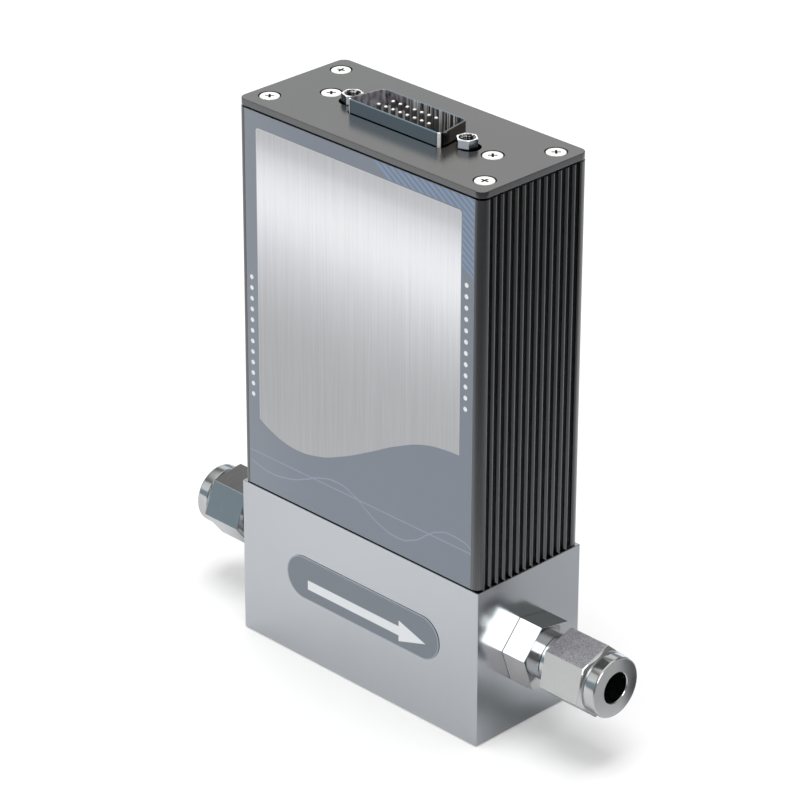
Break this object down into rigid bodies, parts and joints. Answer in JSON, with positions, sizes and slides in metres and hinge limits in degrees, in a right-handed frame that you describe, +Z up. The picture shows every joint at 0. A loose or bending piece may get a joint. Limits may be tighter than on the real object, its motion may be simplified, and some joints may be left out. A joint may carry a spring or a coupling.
{
  "type": "gas mass flow meter",
  "caption": "Gas mass flow meter: steel flow block with hex compression fittings, ribbed electronics housing, screwed top plate and a D-shaped connector.",
  "frame": {"origin": "centre of the flow block's underside", "axes": "+X along the gas flow from inlet to outlet, front label towards -Y, +Z up"},
  "size_m": [0.1222, 0.0314, 0.1308],
  "materials": {
    "stainless_steel": "fine machined stainless steel",
    "bright_plating": "bright plated steel",
    "black_rubber": "matt black",
    "dark_anodised": "dark grey satin anodising",
    "satin_grey": "grey satin anodising",
    "black_plastic": "matt moulding",
    "circuit_green": "solder resist",
    "copper_winding": "fine copper wire",
    "can_aluminium": "drawn can",
    "label_blue_grey": "printed film"
  },
  "bodies": {
    "root": {"flow_block": "stainless_steel", "inlet_fitting_body": "stainless_steel", "outlet_fitting_body": "stainless_steel", "inlet_fitting_nut": "stainless_steel", "outlet_fitting_nut": "stainless_steel", "inlet_front_ferrule": "stainless_steel", "outlet_front_ferrule": "stainless_steel", "inlet_back_ferrule": "stainless_steel", "outlet_back_ferrule": "stainless_steel", "laminar_flow_element": "stainless_steel", "element_retainer": "stainless_steel", "inlet_screen": "stainless_steel", "sensor_base": "stainless_steel", "sensor_tube": "stainless_steel", "sensor_cover": "stainless_steel", "cover_screw_1": "bright_plating", "cover_screw_2": "bright_plating", "cover_screw_3": "bright_plating", "cover_screw_4": "bright_plating", "cover_screw_5": "bright_plating", "cover_screw_6": "bright_plating", "connector_front_shell": "bright_plating", "connector_back_shell": "bright_plating", "inlet_jack_screw": "bright_plating", "inlet_jack_nut": "bright_plating", "inlet_post": "bright_plating", "inlet_standoff": "bright_plating", "sensor_inlet_screw": "bright_plating", "outlet_jack_screw": "bright_plating", "outlet_jack_nut": "bright_plating", "outlet_post": "bright_plating", "outlet_standoff": "bright_plating", "sensor_outlet_screw": "bright_plating", "base_gasket": "black_rubber", "top_gasket": "black_rubber", "inlet_port_seal": "black_rubber", "outlet_port_seal": "black_rubber", "sensor_inlet_seal": "black_rubber", "sensor_outlet_seal": "black_rubber", "housing_shell": "dark_anodised", "top_plate": "satin_grey", "connector_insulator": "black_plastic", "board_header": "black_plastic", "processor": "black_plastic", "regulator": "black_plastic", "connector_board": "circuit_green", "main_board": "circuit_green", "sensor_inlet_winding": "copper_winding", "sensor_outlet_winding": "copper_winding", "capacitor": "can_aluminium", "front_label": "label_blue_grey", "flow_label": "label_blue_grey"}
  },
  "joints": []
}
